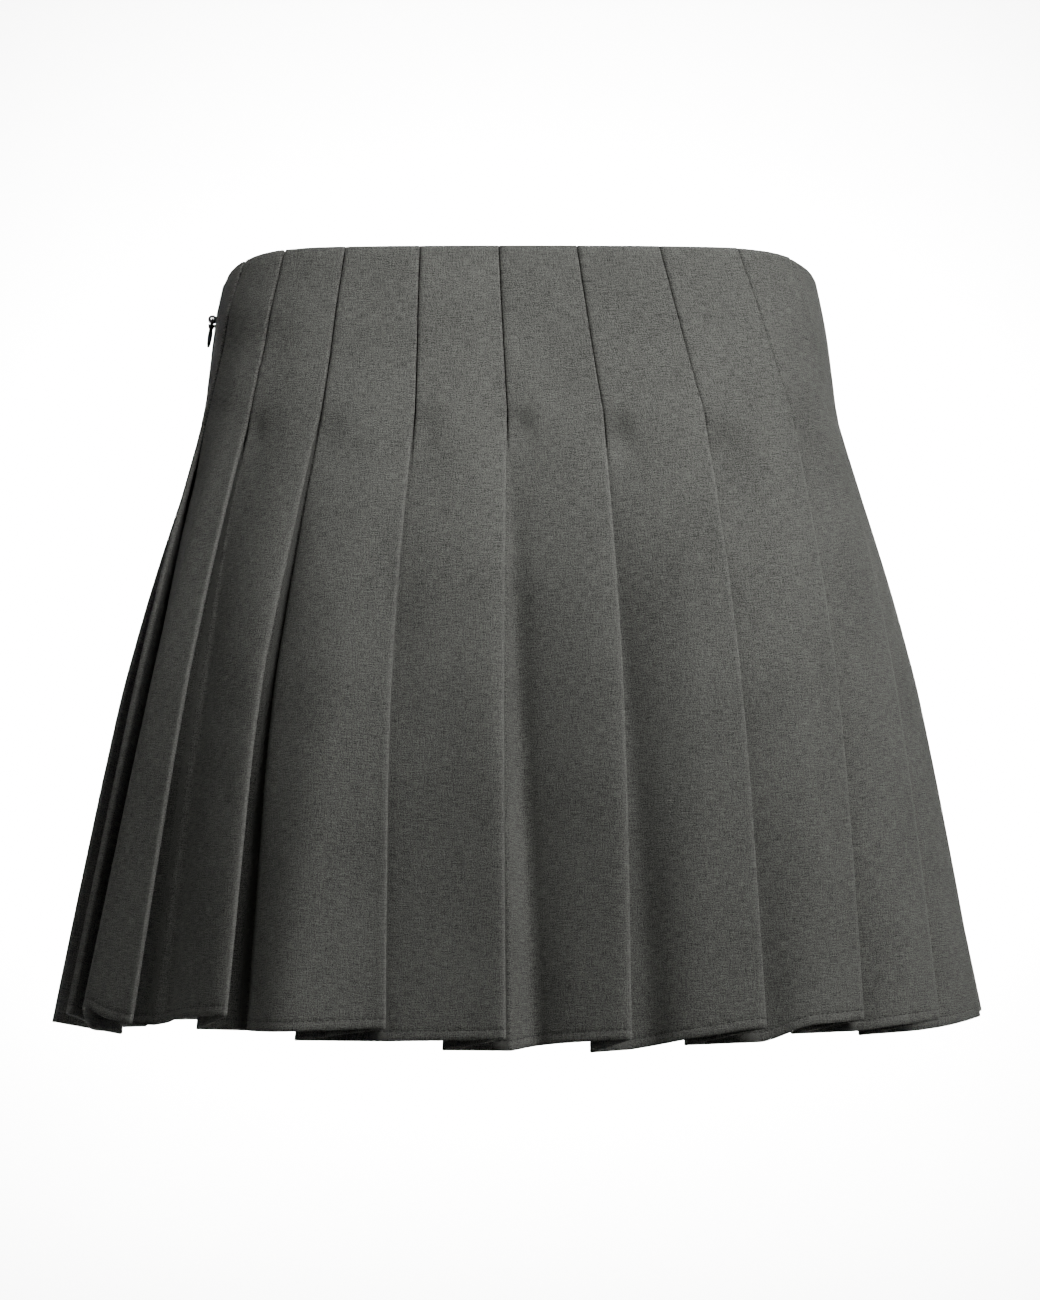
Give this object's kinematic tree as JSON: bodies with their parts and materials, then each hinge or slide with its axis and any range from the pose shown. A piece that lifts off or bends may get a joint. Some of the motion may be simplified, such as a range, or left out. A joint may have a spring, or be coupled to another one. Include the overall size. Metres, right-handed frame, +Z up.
{
  "type": "pleated mini skirt",
  "caption": "Worn-shape knife-pleated mini skirt, sewn flat over the hips and loose to the hem, with a concealed side zip and hinged pull tab.",
  "frame": {"origin": "centre of the waist opening, at the height of the waist edge over the side seams", "axes": "+Z up, +X the wearer's left (the side with the zip), -Y the front"},
  "size_m": [0.4438, 0.3248, 0.369],
  "materials": {
    "wool_cloth": "fine plain-woven worsted wool, heathered charcoal grey, matt with a faint nap",
    "zip_tape": "knitted polyester zip tape, dark grey",
    "zip_metal": "dark grey enamel on a zinc casting, satin"
  },
  "bodies": {
    "skirt": {"back_panel": "wool_cloth", "front_panel": "wool_cloth", "zip_tape_back": "zip_tape", "zip_tape_front": "zip_tape", "zip_slider": "zip_metal"},
    "pull_tab": {"zip_pull": "zip_metal"}
  },
  "joints": [
    {"name": "pull_hinge", "type": "hinge", "parent": "skirt", "child": "pull_tab", "pos_m": [0.14616, 0.00128, -0.01195], "axis": [-0.0424, -0.9848, 0.1687], "range_deg": [0, 150]}
  ]
}
